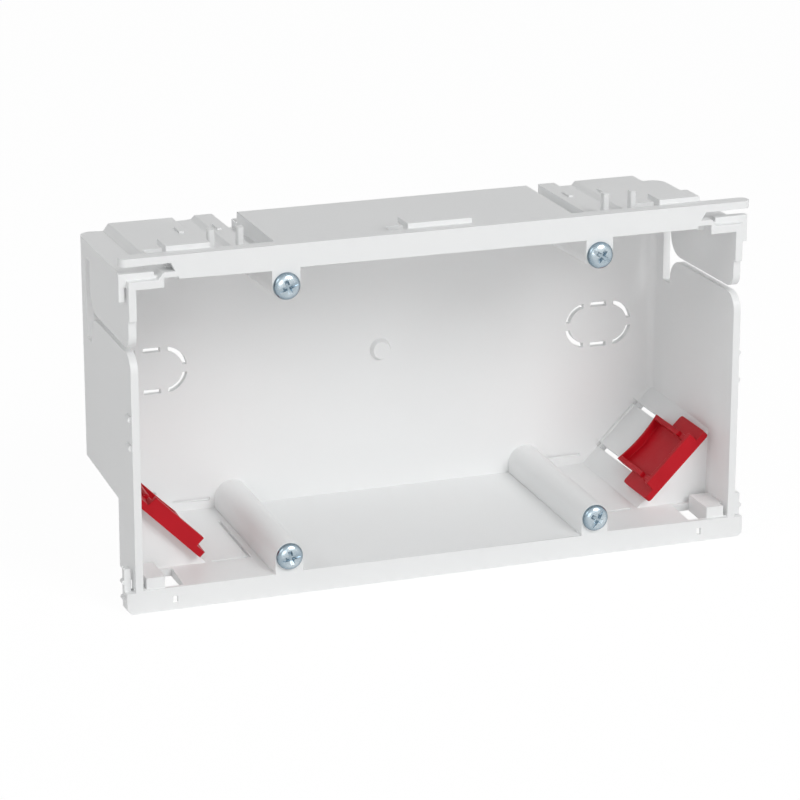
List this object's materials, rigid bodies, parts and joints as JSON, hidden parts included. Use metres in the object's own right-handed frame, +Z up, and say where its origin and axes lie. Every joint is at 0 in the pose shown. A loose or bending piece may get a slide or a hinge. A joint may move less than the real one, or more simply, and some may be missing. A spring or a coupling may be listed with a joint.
{
  "type": "electrical device box",
  "caption": "Wide open-front wiring box moulded in white plastic, with front rails, screw posts, knock-outs, spring side tabs and red sliding cable clamps in its slanting lower corners.",
  "frame": {"origin": "middle of the whole box's footprint, at the lower edge of the bottom rail", "axes": "X across the width, Y from the open front to the back wall, Z up"},
  "size_m": [0.1442, 0.0442, 0.0792],
  "materials": {
    "white_plastic": "satin moulded white plastic",
    "red_plastic": "moulded red plastic",
    "zinc_steel": "bright zinc plated steel"
  },
  "bodies": {
    "box": {"box_body": "white_plastic"},
    "clamp_left": {"cable_clamp_left": "red_plastic"},
    "clamp_right": {"cable_clamp_right": "red_plastic"},
    "turning_screw_top_left": {"screw_top_left": "zinc_steel"},
    "turning_screw_top_right": {"screw_top_right": "zinc_steel"},
    "turning_screw_bottom_left": {"screw_bottom_left": "zinc_steel"},
    "turning_screw_bottom_right": {"screw_bottom_right": "zinc_steel"}
  },
  "joints": [
    {"name": "clamp_left_slide", "type": "slide", "parent": "box", "child": "clamp_left", "axis": [0.0284, 0.9992, 0.0284], "range_m": [0, 0.012]},
    {"name": "clamp_right_slide", "type": "slide", "parent": "box", "child": "clamp_right", "axis": [-0.0284, 0.9992, 0.0284], "range_m": [0, 0.012]},
    {"name": "screw_top_left_turn", "type": "hinge", "parent": "box", "child": "turning_screw_top_left", "pos_m": [-0.0355, -0.02053, 0.0688], "axis": [0, 1, 0], "continuous": true},
    {"name": "screw_top_right_turn", "type": "hinge", "parent": "box", "child": "turning_screw_top_right", "pos_m": [0.0355, -0.02053, 0.0688], "axis": [0, 1, 0], "continuous": true},
    {"name": "screw_bottom_left_turn", "type": "hinge", "parent": "box", "child": "turning_screw_bottom_left", "pos_m": [-0.0355, -0.02053, 0.0088], "axis": [0, 1, 0], "continuous": true},
    {"name": "screw_bottom_right_turn", "type": "hinge", "parent": "box", "child": "turning_screw_bottom_right", "pos_m": [0.0355, -0.02053, 0.0088], "axis": [0, 1, 0], "continuous": true}
  ]
}
